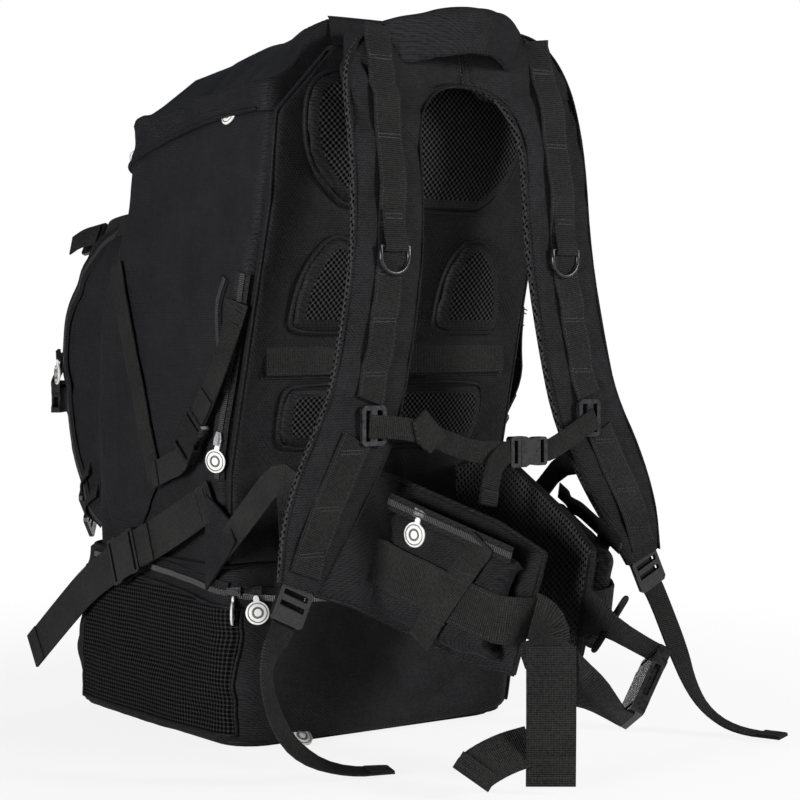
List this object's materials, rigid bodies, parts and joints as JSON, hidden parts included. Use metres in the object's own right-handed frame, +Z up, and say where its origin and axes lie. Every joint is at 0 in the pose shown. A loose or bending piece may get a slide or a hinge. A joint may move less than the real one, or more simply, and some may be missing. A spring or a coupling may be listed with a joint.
{
  "type": "rucksack",
  "caption": "Large soft rucksack with a hinged top lid, front pocket, padded back and shoulder harness, chest strap, hip belt with pockets, and side-release buckles on its straps.",
  "frame": {"origin": "on the underside of the base panel, on the pack's mid-plane, about 21 mm behind the panel's centre", "axes": "+Z up, -Y towards the wearer (harness side), +Y towards the front pocket, -X to the left as seen when facing the harness"},
  "size_m": [0.5223, 0.769, 0.6765],
  "materials": {
    "pack_fabric": "matte woven nylon, near black",
    "air_mesh": "open spacer mesh, black",
    "webbing": "woven nylon webbing, black",
    "black_plastic": "satin black moulding",
    "dark_metal": "dark grey coated wire and plate",
    "zip_metal": "dull silver slider",
    "tag_white": "soft white pull tag, bare",
    "frame_plastic": "black sheet"
  },
  "bodies": {
    "pack": {"main_bag": "pack_fabric", "lower_bag": "pack_fabric", "base_panel": "pack_fabric", "back_panel": "pack_fabric", "frame_sheet": "frame_plastic", "back_pad_upper": "air_mesh", "lumbar_pad": "air_mesh", "front_pocket": "pack_fabric", "yoke_pad": "pack_fabric", "back_pad_lower_left": "air_mesh", "back_pad_lower_right": "air_mesh", "side_wing_left": "pack_fabric", "side_wing_right": "pack_fabric", "upper_strap_left": "webbing", "upper_strap_right": "webbing", "upper_socket_left": "black_plastic", "upper_socket_right": "black_plastic", "lower_strap_left": "webbing", "lower_strap_right": "webbing", "lower_socket_left": "black_plastic", "lower_socket_right": "black_plastic", "strap_anchor_left": "webbing", "strap_anchor_right": "webbing"},
    "lid": {"lid": "pack_fabric"},
    "haul_handle": {"haul_handle": "pack_fabric"},
    "harness": {"shoulder_strap_left": "pack_fabric", "shoulder_strap_right": "pack_fabric", "sternum_slider_left": "dark_metal", "sternum_slider_right": "dark_metal", "ladder_lock_left": "black_plastic", "ladder_lock_right": "black_plastic", "strap_tail_left": "webbing", "strap_tail_right": "webbing", "sternum_webbing_right": "webbing", "sternum_socket": "black_plastic"},
    "d_ring_left": {"d_ring_left": "dark_metal"},
    "d_ring_right": {"d_ring_right": "dark_metal"},
    "sternum_clip": {"sternum_clip": "black_plastic", "sternum_webbing_left": "webbing"},
    "upper_clip_left": {"upper_clip_left": "black_plastic"},
    "upper_clip_right": {"upper_clip_right": "black_plastic"},
    "lower_clip_left": {"lower_clip_left": "black_plastic", "lower_tail_left": "webbing"},
    "lower_clip_right": {"lower_clip_right": "black_plastic", "lower_tail_right": "webbing"},
    "hip_belt": {"hip_wing_left": "pack_fabric", "hip_wing_right": "pack_fabric", "hip_pocket_left": "pack_fabric", "hip_pocket_right": "pack_fabric", "belt_webbing_left": "webbing", "belt_webbing_right": "webbing", "belt_tail": "webbing", "hip_socket": "black_plastic"},
    "hip_clip": {"hip_clip": "black_plastic"},
    "side_zip_slider": {"side_zip_slider": "zip_metal"},
    "side_zip_tag": {"side_zip_tag": "tag_white"},
    "hip_zip_slider": {"hip_zip_slider": "zip_metal"},
    "hip_zip_tag": {"hip_zip_tag": "tag_white"},
    "front_buckle_left": {"front_buckle_left": "black_plastic"},
    "front_buckle_right": {"front_buckle_right": "black_plastic"}
  },
  "joints": [
    {"name": "lid_hinge", "type": "hinge", "parent": "pack", "child": "lid", "pos_m": [0, -0.1834, 0.672], "axis": [1, 0, 0], "range_deg": [0, 85]},
    {"name": "handle_hinge", "type": "hinge", "parent": "pack", "child": "haul_handle", "pos_m": [0, -0.25138, 0.66175], "axis": [-1, 0, 0], "range_deg": [0, 40]},
    {"name": "harness_hinge", "type": "hinge", "parent": "pack", "child": "harness", "pos_m": [0, -0.24831, 0.63], "axis": [-1, 0, 0], "range_deg": [0, 30]},
    {"name": "hip_belt_hinge", "type": "hinge", "parent": "pack", "child": "hip_belt", "pos_m": [0, -0.12704, 0.262], "axis": [-1, 0, 0], "range_deg": [0, 6]},
    {"name": "d_ring_hinge_left", "type": "hinge", "parent": "harness", "child": "d_ring_left", "pos_m": [-0.098, -0.29394, 0.462], "axis": [-1, 0, 0], "range_deg": [0, 120]},
    {"name": "d_ring_hinge_right", "type": "hinge", "parent": "harness", "child": "d_ring_right", "pos_m": [0.098, -0.29394, 0.462], "axis": [-1, 0, 0], "range_deg": [0, 120]},
    {"name": "sternum_release", "type": "slide", "parent": "harness", "child": "sternum_clip", "axis": [-1, 0, 0], "range_m": [0, 0.03]},
    {"name": "upper_release_left", "type": "slide", "parent": "pack", "child": "upper_clip_left", "axis": [0, 0.6222, -0.7828], "range_m": [0, 0.035]},
    {"name": "upper_release_right", "type": "slide", "parent": "pack", "child": "upper_clip_right", "axis": [0, 0.6222, -0.7828], "range_m": [0, 0.035]},
    {"name": "lower_release_left", "type": "slide", "parent": "pack", "child": "lower_clip_left", "axis": [0, 0.9292, -0.3697], "range_m": [0, 0.042]},
    {"name": "lower_release_right", "type": "slide", "parent": "pack", "child": "lower_clip_right", "axis": [0, 0.9292, -0.3697], "range_m": [0, 0.042]},
    {"name": "hip_release", "type": "slide", "parent": "hip_belt", "child": "hip_clip", "axis": [0.6191, 0.0999, 0.7789], "range_m": [0, 0.05], "deforming": ["belt_webbing_right"]},
    {"name": "side_zip", "type": "slide", "parent": "pack", "child": "side_zip_slider", "axis": [0.0122, -0.2429, 0.97], "range_m": [0, 0.025]},
    {"name": "side_tag_hinge", "type": "hinge", "parent": "side_zip_slider", "child": "side_zip_tag", "pos_m": [-0.16816, -0.11263, 0.28], "axis": [-0.4117, 0.8828, 0.2263], "range_deg": [0, 90]},
    {"name": "hip_zip", "type": "slide", "parent": "hip_belt", "child": "hip_zip_slider", "axis": [0.2726, -0.917, -0.2912], "range_m": [-0.03, 0.04]},
    {"name": "hip_tag_hinge", "type": "hinge", "parent": "hip_zip_slider", "child": "hip_zip_tag", "pos_m": [-0.08968, -0.31663, 0.22373], "axis": [-0.2726, 0.917, 0.2912], "range_deg": [0, 90]},
    {"name": "front_buckle_hinge_left", "type": "hinge", "parent": "pack", "child": "front_buckle_left", "pos_m": [-0.13151, 0.27175, 0.332], "axis": [0.7071, 0.7071, 0], "range_deg": [0, 75]},
    {"name": "front_buckle_hinge_right", "type": "hinge", "parent": "pack", "child": "front_buckle_right", "pos_m": [0.13151, 0.27175, 0.332], "axis": [0.7071, -0.7071, 0], "range_deg": [0, 75]}
  ]
}
